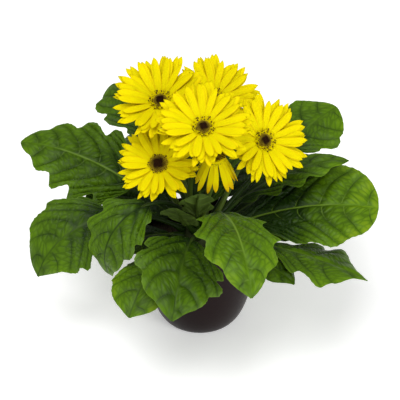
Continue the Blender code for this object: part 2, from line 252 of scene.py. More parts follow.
STEM_RIDGE_DEPTH = 0.02
STEM_FOOT_FLARE = 0.25
STEM_FOOT_SHARE = 0.12
SHARP_ANGLE = math.radians(60)

# A blade has an upper and a lower skin, each with a material.
BLADE_SKINS = 2

# Tints of fine hairs.
WOOL_BROWN = (0.05, 0.035, 0.012, 1.0)
HAIR_GREEN = (0.20, 0.26, 0.07, 1.0)

# The stage. A light is (its place, the length of its side).
LIGHTS = {"key": ((-0.3, -0.6, 1.7), 1.2), "fill": ((1.2, -1.4, 0.8), 0.8)}
LIGHTS_AIM = Vector((0.0, 0.0, 0.12))
FLOOR_REACH = 6.0
FLOOR_DROP = 0.0002


class Leaf(NamedTuple):
    """One leaf. The azimuth runs from +X towards the back, seen from above."""

    name: str
    azimuth: float
    rise: float  # pitch where it leaves the crown
    droop: float  # pitch at its tip
    stalk: float
    blade: float
    half_width: float
    sweep: float = 0.0  # sideways bend from foot to tip
    roll: float = 0.0  # turn of the blade about its rib
    lobes: float = 4.0
    lobe_depth: float = 0.22
    phase: float = 0.0  # shifts the lobes along the rib, in lobes
    widest: float = 0.50  # share of the blade's length with the widest place
    bluntness: float = 0.80  # small for a round end, 1 and over for a pointed one
    cup: float = -0.12  # edges above the rib, or below it where negative
    bend: float = 1.3  # over 1 keeps the stalk straighter than the blade
    quilt: float = 1.0  # how full the skin stands between its veins
    tone: float = 0.5  # 0 for a dark old leaf, 1 for a bright young one, which also stands in as painted light and shade for its place in the rosette
    pale: float = 0.3  # 0 for a rib and veins in creases of painted shade, 1 for pale ones
    shade: float = 0.35  # painted shade: how dark its blade is painted near the stalk, down in the rosette
    veins: float = 2.4  # lateral veins on one side, for each lobe
    tail: float = 0.0  # how much narrower its tip is drawn, as a share of the width there

    @property
    def length(self):
        """Its stalk and blade together."""
        return self.stalk + self.blade


class Bloom(NamedTuple):
    """One bloom on its stem. The place is the middle of the underside of its core."""

    name: str
    place: tuple
    facing: float  # azimuth that it looks towards
    tilt: float  # pitch of its axis
    radius: float
    stem_azimuth: float
    stem_rise: float
    lift: float = 9.0  # pitch of the outer rays above the core's plane
    bract_reach: float = 0.0045
    ripeness: float = 0.0  # 1 widens the ring of open florets round the eye
    rows: int = 4  # rows of ray petals that it has opened
    painted_warm_light: float = 0.0  # 1 for petals painted brighter and orange-tipped: painted light for the warm light in the others' shade


LEAVES = [
    Leaf("leaf_left_long", 156, 35, -10, 0.060, 0.128, 0.047, sweep=2, roll=-25, lobes=4.5,
         lobe_depth=0.3, phase=0.18, widest=0.35, bluntness=0.7, bend=1.37, quilt=1.5, pale=0.6,
         shade=0.15, veins=2.6),
    Leaf("leaf_left_low", 190, 37, -75, 0.076, 0.100, 0.040, sweep=15, roll=-33, lobe_depth=0.14,
         phase=-0.03, widest=0.46, bluntness=0.92, bend=1.34, quilt=0.6, tone=0.45, pale=0.1,
         shade=0.3),
    Leaf("leaf_left_hidden", 140, 17, -22, 0.015, 0.163, 0.042, lobe_depth=0.18, widest=0.38,
         tone=0.3),
    Leaf("leaf_front_left", 213, 67, -130, 0.070, 0.102, 0.033, sweep=6, roll=-11, phase=0.58,
         widest=0.39, bluntness=0.96, bend=1.32, tone=0.85, pale=0.0, shade=0.15),
    Leaf("leaf_front_left_low", 239, 22, -42, 0.030, 0.100, 0.033, sweep=9, roll=2,
         lobe_depth=0.12, phase=0.07, widest=0.62, bluntness=0.82, bend=1.58, quilt=0.5, tone=1.0,
         pale=0.1, shade=0.2),
    Leaf("leaf_front", 261, 38, -46, 0.034, 0.115, 0.044, sweep=-1, roll=-21, lobe_depth=0.2,
         phase=0.39, widest=0.49, bluntness=0.84, quilt=1.2, tone=0.15, pale=0.15, shade=0.15),
    Leaf("leaf_young", 238, 52, 58, 0.020, 0.042, 0.020, sweep=14, lobes=3, lobe_depth=0.08,
         quilt=0.4, tone=0.0, shade=1.0),
    Leaf("leaf_inner_left", 204, 26, -30, 0.012, 0.064, 0.026, lobes=3, lobe_depth=0.10, quilt=0.5,
         tone=0.0, shade=0.9),
    Leaf("leaf_inner_right", 258, 69, 46, 0.020, 0.058, 0.018, sweep=24, lobes=2.5, lobe_depth=0.30,
         tone=0.35, shade=0.5),
    Leaf("leaf_front_right", 292, 59, -53, 0.063, 0.130, 0.040, sweep=-13, roll=-9, lobe_depth=0.24,
         phase=-0.21, widest=0.48, bend=1.37, tone=0.85, pale=0.7, shade=0.15),
    Leaf("leaf_right_under", 312, 20, -21, 0.040, 0.069, 0.022, sweep=5, roll=-4,
         lobes=3, lobe_depth=0.1, widest=0.49, bluntness=0.81, bend=1.46, tone=0.1),
    Leaf("leaf_right_low", 328, 19, -20, 0.050, 0.109, 0.041, sweep=12, roll=-11, lobes=3.5,
         lobe_depth=0.27, phase=0.34, widest=0.60, bluntness=0.98, bend=1.13, quilt=0.6, tone=0.75,
         shade=0.2, tail=0.6),
    Leaf("leaf_right_wide", 355, 30, -9, 0.018, 0.142, 0.051, roll=18, lobes=3.5, lobe_depth=0.05,
         phase=0.04, widest=0.615, bluntness=0.46, cup=0.05, quilt=1.2, pale=0.8, shade=1.1,
         veins=3.7),
    Leaf("leaf_right_inner", 0, 16, -18, 0.015, 0.095, 0.022, lobes=3, lobe_depth=0.10, quilt=0.6,
         tone=0.0),
    Leaf("leaf_right_behind", 13, 47, -5, 0.032, 0.118, 0.028, sweep=-12, roll=-2, lobes=4.5,
         lobe_depth=0.3, phase=0.02, bluntness=0.79, bend=1.48, tone=0.4, pale=0.2, shade=0.4),
    Leaf("leaf_back_right", 40, 34, 6, 0.101, 0.077, 0.036, sweep=1, roll=15, lobes=3,
         lobe_depth=0.12, phase=-0.1, widest=0.51, bluntness=0.65, bend=1.33, quilt=0.6, tone=0.65,
         pale=0.2, shade=0.3),
    Leaf("leaf_back_left", 120, 44, -5, 0.075, 0.109, 0.037, sweep=-1, roll=-3,
         lobe_depth=0.25, phase=-0.22, widest=0.62, bluntness=0.85, bend=1.21, tone=0.2),
    Leaf("leaf_back", 90, 34, -14, 0.012, 0.170, 0.046, lobe_depth=0.20, widest=0.40),
    Leaf("leaf_back_low_left", 111, 22, -32, 0.035, 0.148, 0.040, phase=0.3, tone=0.6),
    Leaf("leaf_back_low_right", 66, 16, -24, 0.035, 0.148, 0.040, phase=0.6, tone=0.4),
    Leaf("leaf_right_back_low", 30, 22, -22, 0.012, 0.158, 0.037, lobe_depth=0.18, widest=0.45,
         tone=0.4),
]

BLOOMS = [
    Bloom("bloom_front", (0.0030, -0.0270, 0.2330), 276, 62, 0.0470, 178, 75, lift=17),
    Bloom("bloom_left_high", (-0.0364, 0.0164, 0.2345), 256, 62, 0.0480, 128, 64, lift=19),
    Bloom("bloom_left_low", (-0.0380, -0.0166, 0.1865), 257, 54, 0.0410, 176, 60, lift=15,
          ripeness=1.0),
    Bloom("bloom_right", (0.0584, -0.0060, 0.2062), 303, 40, 0.0450, 340, 62, lift=14),
    Bloom("bloom_back", (0.0130, 0.0450, 0.2190), 285, 55, 0.0460, 60, 66, lift=14),
    Bloom("bloom_low", (0.0140, -0.0255, 0.2005), 270, 78, 0.0380, 300, 80, lift=-67,
          bract_reach=0.0006, rows=1, painted_warm_light=0.9),
]


def colour_property(name, description, *rgb):
    """A colour that a user can change."""
    return FloatVectorProperty(
        name=name, description=description, default=(*rgb, 1.0),
        subtype="COLOR", size=4, min=0.0, max=1.0)


def number_property(name, description, default, least=0.0, unit="LENGTH"):
    """A length, or a number with that unit, that a user can change."""
    return FloatProperty(name=name, description=description, default=default, min=least, unit=unit)


class PotSettings(PropertyGroup):
    """What a user can change on the pot and the soil."""

    colour: colour_property("Plastic", "Colour of the pot's plastic", 0.0095, 0.0040, 0.0042)
    soil: colour_property("Soil", "Colour of the moist potting mix", 0.014, 0.010, 0.006)
    segments: IntProperty(
        name="Segments", description="Faces round the pot", default=144, min=16, max=512)
    lip_rounding: number_property("Lip rounding", "Radius of the lip's edges", 0.0012)
    crumbs: IntProperty(
        name="Crumbs", description="Loose crumbs on the soil", default=420, min=0, max=2000)
    crumb_size: number_property("Crumb size", "Radius of a middling crumb", 0.0011)


class LeafSettings(PropertyGroup):
    """What a user can change on the leaves, and the greens of the crown."""

    # Also the colour of the painted shade at the leaves' feet and in their creases.
    dark: colour_property(
        "Dark green", "Skin near the stalk and along the veins", 0.008, 0.024, 0.0008)
    bright: colour_property("Bright green", "Skin near the tips and margins", 0.085, 0.177, 0.0008)
    fresh: colour_property("Fresh green", "Margins of the brightest leaves", 0.170, 0.255, 0.006)
    rib: colour_property(
        "Rib green", "Ribs, stalks and the leaves' undersides", 0.120, 0.205, 0.020)
    cell: number_property("Cell", "Size of the skin's cells", 0.0012, 0.0003)
    thickness: number_property("Thickness", "Thickness of the skin", 0.0007, 0.0001)
    pillow: number_property("Pillow", "Height of the skin between two lateral veins", 0.0021)
    swell_height: number_property(
        "Swell height", "Height of the uneven swells on that skin", 0.0016)
    net_depth: number_property("Net depth", "Depth of the net of small veins in the skin", 0.0011)
    rib_groove: number_property("Rib groove", "Depth of the fold that the rib lies in", 0.0008)


class BloomSettings(PropertyGroup):
    """What a user can change on the blooms."""

    ray: colour_property("Petal yellow", "Skin of the ray petals", 0.710, 0.585, 0.0005)
    # Also the colour of the warm painted shade at the petals' margins.
    blush: colour_property("Petal blush", "Warm tint at margins and some tips", 0.720, 0.360, 0.004)
    eye: colour_property("Eye", "Closed florets in the middle of the eye", 0.024, 0.008, 0.002)
    ring: colour_property("Eye ring", "Open florets round the eye", 0.300, 0.215, 0.010)
    speck: colour_property("Speck", "Dark pollen tips over the petals' roots", 0.060, 0.022, 0.004)
    stem: colour_property("Stem green", "Flower stems and bracts", 0.062, 0.108, 0.006)
    ray_half_width: number_property(
        "Petal half width", "Half the width of a petal on a bloom of full size", 0.0040)


class StageSettings(PropertyGroup):
    """What a user can change on the floor, the lights and the camera."""

    floor: colour_property("Floor", "Colour of the floor's paper", 0.92, 0.92, 0.92)
    glow: number_property("Glow", "Light that the floor's paper gives off", 0.35, unit="NONE")
    sky: number_property("Air light", "Strength of the light from all round", 0.48, unit="NONE")
    key: number_property("Key light", "Power of the large light above", 24.0, unit="POWER")
    fill: number_property("Fill light", "Power of the light at the front right", 16.0, unit="POWER")
    elevation: number_property(
        "Elevation", "Camera's pitch down onto the plant", math.radians(35), unit="ROTATION")
    distance: number_property("Distance", "From the camera to the plant's middle", 1.6, 0.1)
    middle: number_property("Middle", "Height that the camera looks at", 0.1352)
    lens: number_property("Lens", "Focal length, in millimetres", 150.8, 1.0, unit="NONE")


def arithmetic(operation):
    """An operator that adds a Math node, and its reflected form."""
    def forward(self, other):
        return self.math(operation, self, other)

    def reflected(self, other):
        return self.math(operation, other, self)

    return forward, reflected


class Value:
    """A node's output. Arithmetic on it adds Math nodes to its paint."""

    def __init__(self, paint, socket):
        self.paint = paint
        self.socket = socket

    def math(self, operation, *values, clamp=False):
        settings = {"operation": operation, "use_clamp": clamp}
        return self.paint.node("ShaderNodeMath", settings, dict(enumerate(values)))

    __add__, __radd__ = arithmetic("ADD")
    __sub__, __rsub__ = arithmetic("SUBTRACT")
    __mul__, __rmul__ = arithmetic("MULTIPLY")
    __truediv__, __rtruediv__ = arithmetic("DIVIDE")

    def clamped(self):
        return self.math("ADD", self, 0.0, clamp=True)

    def at_least(self, other):
        return self.math("MAXIMUM", self, other)

    def wave(self, operation):
        """Its sine or cosine."""
        return self.math(operation, self)

    def to_whole(self):
        """How far it is from the nearest whole number, from 0 to a half."""
        return self.math("PINGPONG", self, 0.5)


class Paint:
    """One material under construction."""

    def __init__(self, name, roughness, specular):
        self.material = bpy.data.materials.new(name)
        self.material.use_nodes = True
        self.tree = self.material.node_tree
        self.shader = self.tree.nodes["Principled BSDF"]
        self.fix({"Roughness": roughness, "Specular IOR Level": specular})

    def fix(self, sockets):
        """Sets sockets of the shader to what they are all over the surface."""
        for name, value in sockets.items():
            self.shader.inputs[name].default_value = value

    def node(self, kind, settings, sockets, output=0):
        """Adds a node: its settings first, then its sockets' values or links."""
        made = self.tree.nodes.new(kind)
        for name, value in settings.items():
            setattr(made, name, value)
        for name, value in sockets.items():
            if isinstance(value, Value):
                self.tree.links.new(value.socket, made.inputs[name])
            else:
                made.inputs[name].default_value = value
        return Value(self, made.outputs[output])

    def feed(self, socket, value):
        """Links what varies over the surface to a socket of the shader."""
        self.tree.links.new(value.socket, self.shader.inputs[socket])

    def attribute(self, name):
        return self.node("ShaderNodeAttribute", {"attribute_name": name}, {}, output="Fac")

    def noise(self, scale, detail):
        where = self.node("ShaderNodeTexCoord", {}, {}, output="Object")
        sockets = {"Vector": where, "Scale": scale, "Detail": detail}
        return self.node("ShaderNodeTexNoise", {}, sockets)

    def cracks(self, where):
        """0 on the borders of small cells and up to about a half inside them."""
        settings = {"feature": "DISTANCE_TO_EDGE"}
        return self.node("ShaderNodeTexVoronoi", settings, {"Vector": where, "Scale": 1.0})

    def band(self, value, outside, inside):
        """Rises softly from 0 where the value is at outside to 1 where it is at inside."""
        settings = {"interpolation_type": "SMOOTHSTEP"}
        sockets = {"Value": value, "From Min": outside, "From Max": inside}
        return self.node("ShaderNodeMapRange", settings, sockets)

    def mix(self, factor, first, second):
        settings = {"data_type": "RGBA", "clamp_factor": True}
        return self.node("ShaderNodeMix", settings, {0: factor, 6: first, 7: second}, output=2)

    def shades(self, factor, colour, dark, light):
        """A mix of two shades of one colour, whose brightness is multiplied by dark and light."""
        return self.mix(factor, faded(colour, dark), faded(colour, light))

    def finished(self, colour, height, depth, strength):
        """The material, once its colour and its bump of that depth are linked."""
        sockets = {"Height": height, "Distance": depth, "Strength": strength}
        self.feed("Base Color", colour)
        self.feed("Normal", self.node("ShaderNodeBump", {}, sockets))
        return self.material


def faded(colour, share):
    """The colour with its brightness multiplied by share."""
    return (*(channel * share for channel in colour[:3]), 1.0)


def pot_material(settings):
    """Dark plastic, a little cloudy and scuffed."""
    paint = Paint("pot_plastic", 0.35, specular=0.09)
    scuffed = paint.noise(260.0, 6.0)
    plastic = paint.shades(paint.noise(22.0, 4.0), settings.colour, 0.85, 1.25)
    paint.feed("Roughness", 0.26 + 0.18 * scuffed)
    return paint.finished(plastic, scuffed, 0.00012, 0.5)


def soil_material(settings):
    """Moist dark mix with paler grains."""
    paint = Paint("potting_soil", 0.95, specular=0.2)
    grains = paint.noise(1100.0, 6.0)
    brown = paint.shades(paint.noise(90.0, 5.0), settings.soil, 0.55, 2.2)
    brown = paint.mix(grains * 0.5, brown, faded(settings.soil, 3.5))
    return paint.finished(brown, grains, 0.0009, 0.8)


def crown_material(settings):
    """Green skin in streaks, under brown wool."""
    paint = Paint("crown_skin", 0.75, specular=0.3)
    hairs = paint.noise(900.0, 3.0)
    green = paint.mix(paint.noise(60.0, 5.0), faded(settings.dark, 0.9), faded(settings.rib, 0.20))
    return paint.finished(paint.mix(hairs * 0.30, green, WOOL_BROWN), hairs, 0.0006, 0.7)


def leaf_material(settings):
    """The upper skin: painted shade along its veins, in its net and at its foot, painted light on
    the swells between them, and bright at its tip and margins.
    """
    paint = Paint("leaf_skin", 0.42, specular=0.13)
    along, edge, off_rib, count, run, tone, pale, shade = map(paint.attribute, LEAF_NUMBERS)
    vein = count.to_whole()
    net = paint.node("ShaderNodeCombineXYZ", {}, {0: count * NET_IN_SPACE, 1: run / NET_SPACING})
    puff = paint.cracks(net)
    mottle = paint.noise(34.0, 4.0)
    speckle = paint.noise(520.0, 3.0)
    near_rib = paint.band(edge, 0.45, 0.12)
    middle = paint.band(off_rib + 0.0005 * along, 0.0016, 0.0005)
    beside_rib = paint.band(off_rib, 0.0, 0.006)

    # Painted shade: the blade darkens towards the stalk by its shade number, down in the rosette,
    # and lightens towards its tip.
    clear = paint.band(along, 0.0, 0.75) + 0.35 * paint.band(along, 0.40, 1.0)
    bright = 0.34 * tone + 0.28 - shade * (1 - clear) + 0.26 * edge * edge + 0.7 * (mottle - 0.5)
    # Painted shade: darker still beside the rib near the foot, in the rosette's hollow.
    bright = bright - 0.5 * paint.band(along, 0.32, 0.0) * paint.band(off_rib, 0.016, 0.0)
    # Painted light and shade: darker beside the lateral veins and on the net's borders, lighter on
    # the swells between them.
    bright = bright + 0.22 * (paint.band(vein, 0.02, 0.30) - 0.5)
    bright = bright + (0.22 - 0.12 * edge) * (paint.band(puff, 0.0, 0.4) - 0.5)
    skin = paint.mix(bright, settings.dark[:], settings.bright[:])
    skin = paint.mix(paint.band(bright, 0.80, 1.30) * 0.8, skin, settings.fresh[:])

    # Painted shade: dark lines in the creases of the lateral veins and the net, and in the fold of
    # a rib that is not pale.
    crease_shade = paint.band(vein, 0.050, 0.012) * (0.90 - 0.60 * edge) * (1.05 - pale * near_rib)
    net_shade = paint.band(puff, 0.13, 0.03) * (0.34 - 0.22 * edge)
    dark = (crease_shade.at_least(net_shade) * beside_rib).at_least(middle * (0.8 - 2.4 * pale))
    skin = paint.mix(dark, skin, faded(settings.dark, 0.9))

    thread = paint.band(vein, 0.035, 0.012) * near_rib * pale * 0.6
    rib = middle * paint.band(along, 0.85, 0.55) * (1.1 * pale)
    rim = paint.band(edge, 0.965, 0.99) * 0.4
    lines = thread.at_least(rim).at_least(rib)
    skin = paint.mix(lines, skin, settings.rib[:])
    paint.feed("Roughness", 0.34 + 0.16 * speckle + 0.10 * mottle)

    height = paint.band(puff, 0.0, 0.45) * beside_rib * paint.band(edge, 1.05, 0.3)
    height = height * paint.band(along, 1.2, 0.3)
    return paint.finished(skin, height + 0.12 * speckle, settings.net_depth, 0.95)


def underside_material(settings):
    """The lower skin: paler and duller than the upper one, with veins that are paler still."""
    paint = Paint("leaf_underside", 0.62, specular=0.3)
    vein = paint.attribute("vein").to_whole()
    skin = paint.shades(paint.noise(40.0, 4.0), settings.rib, 0.42, 0.72)
    skin = paint.mix(paint.band(vein, 0.10, 0.02) * 0.7, skin, settings.rib[:])
    return paint.finished(skin, paint.noise(600.0, 3.0), 0.0002, 0.6)


def stalk_material(settings):
    """A leaf's stalk and rib, with painted shade that darkens them down in the rosette."""
    paint = Paint("leaf_stalk", 0.48, specular=0.15)
    # Painted shade: the stalk darkens towards the crown, down in the rosette.
    foot = paint.band(paint.attribute("along"), 0.30, -0.20)
    green = paint.shades(paint.noise(75.0, 4.0), settings.rib, 0.25, 0.50)
    green = paint.mix(foot * 0.9, green, settings.dark[:])
    return paint.finished(green, paint.noise(1400.0, 2.0), 0.0002, 0.6)


def stem_material(settings):
    """A flower stem or bract: fine hairs, faint lengthwise ridges and a stem's darker foot."""
    paint = Paint("stem_skin", 0.52, specular=0.15)
    along, round_it = map(paint.attribute, STEM_NUMBERS)
    ridges = (round_it * (2 * STEM_RIDGES * math.tau)).wave("SINE")
    hairs = paint.noise(1500.0, 2.0)
    green = paint.shades(paint.noise(70.0, 4.0), settings.stem, 0.65, 1.25)
    green = paint.mix(paint.band(along, 0.55, 0.0) * 0.65, green, faded(settings.stem, 0.30))
    green = paint.mix(hairs * 0.14, green, HAIR_GREEN)
    return paint.finished(green, ridges * 0.25 + hairs * 0.8, 0.00018, 0.8)


def ray_material(settings):
    """Petal skin: fine lengthwise lines, margins warm with painted shade, painted light on blushed
    petals, and on some a blush at the tip.
    """
    paint = Paint("ray_petal", 0.6, specular=0.02)
    paint.fix({"Subsurface Weight": 0.3, "Subsurface Radius": (0.0030, 0.0025, 0.0002)})
    paint.fix({"Subsurface Scale": 1.0})
    along, across, blush = map(paint.attribute, PETAL_NUMBERS)
    clouds = paint.noise(80.0, 3.0)
    lines = (across * (2 * RAY_GROOVES * math.pi)).wave("COSINE")
    yellow = paint.shades(clouds, settings.ray, 0.95, 1.0)
    yellow = paint.mix((0.5 - 0.5 * lines) * 0.14, yellow, faded(settings.ray, 0.75))
    # Painted light: petals with a high blush number, most of all on the bloom that hangs in the
    # others' shade, are painted brighter and orange at their tips.
    yellow = paint.mix(blush * 0.8, yellow, faded(settings.ray, 1.35))
    # Painted shade: the margins are tinted warm, where the rows of petals shade each other.
    margin_shade = paint.band(across * across, 0.45, 1.0) * 0.45
    at_tip = paint.band(along, 0.60, 1.0) * blush * clouds * 1.5
    yellow = paint.mix((margin_shade + at_tip).clamped(), yellow, settings.blush[:])
    return paint.finished(yellow, lines * 0.5 + clouds * 0.3, 0.00012, 0.8)


def eye_material(settings):
    """Skin of the eye's florets, from the dark closed ones to the open ones at its edge."""
    paint = Paint("eye_florets", 0.8, specular=0.1)
    ripe = paint.attribute("tone")
    brown = paint.mix(paint.band(ripe, 0.40, 0.82), settings.eye[:], settings.ring[:])
    shade = paint.mix(paint.band(ripe, 0.84, 1.08), brown, faded(settings.ray, 0.75))
    shade = paint.mix(paint.noise(420.0, 3.0) * 0.35, shade, faded(settings.eye, 0.8))
    return paint.finished(shade, paint.noise(2600.0, 2.0), 0.00012, 0.8)


def speck_material(settings):
    """Skin of the dark pollen tips."""
    paint = Paint("eye_speck", 0.7, specular=0.1)
    brown = paint.shades(paint.noise(420.0, 3.0), settings.speck, 0.5, 1.7)
    return paint.finished(brown, paint.noise(2600.0, 2.0), 0.00012, 0.8)


def floor_material(settings):
    """Pale paper that glows softly, for even bright ground."""
    paint = Paint("floor_paper", 0.9, specular=0.1)
    paint.feed("Base Color", paint.shades(paint.noise(3.0, 3.0), settings.floor, 0.99, 1.0))
    paint.fix({"Emission Color": settings.floor, "Emission Strength": settings.glow})
    return paint.material


def smooth(x):
    """0 below 0 and 1 above 1, with a soft start and end between them."""
    x = min(1.0, max(0.0, x))
    return x * x * (3 - 2 * x)


def at_turn(turn, radius, height):
    """The point at that turn about Z, that distance from it and that height."""
    return Vector((radius * math.cos(turn), radius * math.sin(turn), height))


def heading(azimuth, pitch):
    """The direction with that azimuth and that pitch above the horizon."""
    pitch = math.radians(pitch)
    return at_turn(math.radians(azimuth), math.cos(pitch), math.sin(pitch))


def standing_at(place, way):
    """The matrix that moves the origin to a place and turns Z to a direction."""
    return Matrix.Translation(place) @ way.to_track_quat("Z", "Y").to_matrix().to_4x4()


def scatter(index, salt):
    """A steady number from -1 to 1 that looks random from one index to the next."""
    return math.sin(12.9898 * index + 78.233 * salt + 1.3 * index * salt)


def add_object(name, data):
    """Puts a new object with that mesh, light or camera into the scene."""
    made = bpy.data.objects.new(name, data)
    bpy.context.scene.collection.objects.link(made)
    return made


def mesh_from(bm, name, materials):
    mesh = bpy.data.meshes.new(name)
    bm.to_mesh(mesh)
    bm.free()
    for material in materials:
        mesh.materials.append(material)
    return mesh


def piece_from(bm, name, materials, node):
    """Turns a bmesh into a finished piece that stands for one node of the solids."""
    mesh = mesh_from(bm, name, materials)
    mesh.shade_smooth()
    mesh.set_sharp_from_angle(angle=SHARP_ANGLE)
    piece = add_object(name, mesh)
    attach(piece, "root")
    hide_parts(node)


def number_layer(bm, name):
    """The bmesh's layer of one number a corner with that name, which a material can read."""
    return bm.verts.layers.float.get(name) or bm.verts.layers.float.new(name)


def wrapped_grid(bm, across, along, place, names, is_below):
    """Adds a closed skin: a grid whose sides are sewn together and whose ends are filled.

    place(x, y) gives a corner of it and the corner's named numbers, with x from -1 to 1 round the
    skin and y from 0 to 1 along it. Faces for which is_below(x) holds get the second material.
    """
    layers = [number_layer(bm, name) for name in names]
    verts = bmesh.ops.create_grid(bm, x_segments=across, y_segments=along, size=1.0)["verts"]
    faces = list({face for vert in verts for face in vert.link_faces})
    for face in faces:
        face.material_index = int(is_below(face.calc_center_median().x))
    for vert in verts:
        vert.co, *numbers = place(vert.co.x, (vert.co.y + 1) / 2)
        for layer, number in zip(layers, numbers):
            vert[layer] = number
    bmesh.ops.remove_doubles(bm, verts=verts, dist=SAME_PLACE)
    faces = [face for face in faces if face.is_valid]
    rims = list({edge for face in faces for edge in face.edges if edge.is_boundary})
    if rims:
        faces += bmesh.ops.holes_fill(bm, edges=rims, sides=0)["faces"]
    bmesh.ops.recalc_face_normals(bm, faces=faces)
    return faces


def add_tube(bm, sides, along, place, names):
    """Adds a closed tube. place(x, y) goes once round it as x goes from -1 to 1."""
    return wrapped_grid(bm, sides, along, place, names, lambda x: False)


def add_blade(bm, across, along, place, thickness, names):
    """Adds a closed thin blade with sharp rims, and its lower skin in the second material.

    place(x, y, lift) gives a corner of its middle surface raised by lift, with x from -1 to 1. It
    thins to nothing at its sides and over the first and last tenth of its length.
    """
    def corner(x, y):
        side = 1 - 2 * abs(x)
        inside = max(0.0, 1 - side**2) * min(1.0, 10 * y, 10 * (1 - y))
        bulge = 0.5 * thickness * math.sqrt(inside)
        return place(side, y, bulge if x < 0 else -bulge)

    return wrapped_grid(bm, 2 * across, along, corner, names, lambda x: x > 0)


def turned(profile, segments):
    """A solid of revolution about Z. The profile is (radius, height) points from axis to axis."""
    bm = bmesh.new()
    points = [bm.verts.new((radius, 0.0, height)) for radius, height in profile]
    edges = [bm.edges.new(pair) for pair in zip(points, points[1:])]
    bmesh.ops.spin(
        bm, geom=points + edges, cent=(0, 0, 0), axis=(0, 0, 1), angle=math.tau,
        steps=segments, use_merge=True, use_duplicate=False,
    )
    bmesh.ops.remove_doubles(bm, verts=bm.verts, dist=SAME_PLACE)
    bmesh.ops.recalc_face_normals(bm, faces=bm.faces)
    return bm


def quarter_turn(centre, radius, start, steps=5):
    """Points on a quarter circle about a (radius, height) centre.

    They run counterclockwise, from start degrees.
    """
    angles = [math.radians(start + 90 * i / steps) for i in range(steps + 1)]
    return [(centre[0] + radius * math.cos(a), centre[1] + radius * math.sin(a)) for a in angles]


def dome(radius, rise, base, bands):
    """The (radius, height) profile of a dome, from axis to axis."""
    angles = [math.pi / 2 * i / bands for i in range(bands)]
    side = [(radius * math.cos(a), base + rise * math.sin(a)) for a in angles]
    return [(0.0, base), *side, (0.0, base + rise)]


def belly_radius(height):
    """The pot's outer radius below its lip."""
    share = 1 - (1 - height / POT_HEIGHT) ** POT_BELLY_FULLNESS
    return POT_FOOT_RADIUS + POT_BELLY_SWELL * share**POT_SHOULDER_EASE


def belly_line(low, high, inset=0.0, bands=36):
    """(radius, height) points up the belly, closer together near the foot."""
    heights = [low + (high - low) * (i / bands) ** POT_BAND_CROWDING for i in range(bands + 1)]
    return [(belly_radius(height) - inset, height) for height in heights]


def make_pot(settings):
    """The turned pot with its rolled lip."""
    lip_base = POT_HEIGHT - LIP_HEIGHT
    lip_radius = belly_radius(lip_base) + LIP_REACH
    mouth = lip_radius - LIP_REACH - POT_WALL
    rounding = settings.lip_rounding
    lip = [
        *quarter_turn((lip_radius - rounding, lip_base + rounding), rounding, -90),
        *quarter_turn((lip_radius - rounding, POT_HEIGHT - rounding), rounding, 0),
        *quarter_turn((mouth + rounding, POT_HEIGHT - rounding), rounding, 90),
    ]
    inside = belly_line(POT_FLOOR, lip_base, POT_WALL)
    profile = [(0.0, 0.0), *belly_line(0.0, lip_base), *lip, *reversed(inside), (0.0, POT_FLOOR)]
    bm = turned(profile, settings.segments)
    piece_from(bm, "pot_moulded", [pot_material(settings)], "pot")


def soil_height(radius, turn):
    """The height of the lumpy soil, which stays under the level that the crown sits on."""
    slope = smooth((radius - SOIL_MIDDLE_RADIUS) / SOIL_SLOPE_WIDTH)
    lump = noise.noise(at_turn(turn, radius, 0) * SOIL_LUMP_SCALE)
    return SOIL_TOP - slope * SOIL_EDGE_DROP - SOIL_LUMP + SOIL_LUMP * lump


def add_crumb(bm, index, settings):
    """A crumb of the potting mix, somewhere on the soil outside the crown."""
    turn = index * GOLDEN_TURN
    inner = CROWN_RADIUS + CRUMB_CLEARANCE
    outer = belly_radius(SOIL_TOP) - POT_WALL - CRUMB_CLEARANCE
    radius = inner + (outer - inner) * (0.5 + 0.5 * scatter(index, 1))
    size = settings.crumb_size * (1 + CRUMB_SIZE_SPREAD * scatter(index, 2))
    stretch = Matrix.Diagonal((1.0, 0.6 + 0.3 * scatter(index, 3), CRUMB_FLATNESS, 1.0))
    axis = Vector((scatter(index, 5), 0.6, scatter(index, 6)))
    spin = Matrix.Rotation(3 * scatter(index, 4), 4, axis)
    height = soil_height(radius, turn) + CRUMB_SHOWS * size
    place = Matrix.Translation(at_turn(turn, radius, height))
    bmesh.ops.create_icosphere(bm, subdivisions=1, radius=size, matrix=place @ spin @ stretch)


def make_soil(settings):
    """The root ball, lumpy on top, with loose crumbs strewn over it."""
    low = POT_FLOOR + GAP
    clear = POT_WALL + 2 * GAP
    top = SOIL_TOP - SOIL_EDGE_DROP
    rim = belly_radius(top) - clear
    cover = [(rim * (1 - i / SOIL_RINGS), top) for i in range(1, SOIL_RINGS)]
    side = belly_line(low, top, clear, SOIL_BANDS)
    bm = turned([(0.0, low), *side, *cover, (0.0, top)], TURNED_SIDES)
    for vert in bm.verts:
        radius = vert.co.to_2d().length
        if vert.co.z > top - SAME_PLACE and radius < rim - SAME_PLACE:
            vert.co.z = soil_height(radius, math.atan2(vert.co.y, vert.co.x))
    for index in range(settings.crumbs):
        add_crumb(bm, index, settings)
    piece_from(bm, "potting_mix", [soil_material(settings)], "root_ball")


def make_crown(leaf_settings):
    """The woolly stem base, ribbed where the stalks leave it."""
    bm = turned(dome(CROWN_RADIUS, CROWN_RADIUS, 0.0, CROWN_BANDS), TURNED_SIDES)
    for vert in bm.verts:
        turn = math.atan2(vert.co.y, vert.co.x)
        skin = CROWN_RIB_DEPTH * math.sin(CROWN_RIBS * turn + CROWN_RIB_LEAN * vert.co.z)
        skin += CROWN_WOOL_DEPTH * noise.noise(vert.co * CROWN_WOOL_SCALE)
        vert.co *= CROWN_SHRINKAGE + skin * smooth(vert.co.z / CROWN_FOOT_HEIGHT) * CROWN_RELIEF
    bmesh.ops.translate(bm, verts=bm.verts, vec=CROWN_CENTRE)
    piece_from(bm, "crown_woolly", [crown_material(leaf_settings)], "crown")


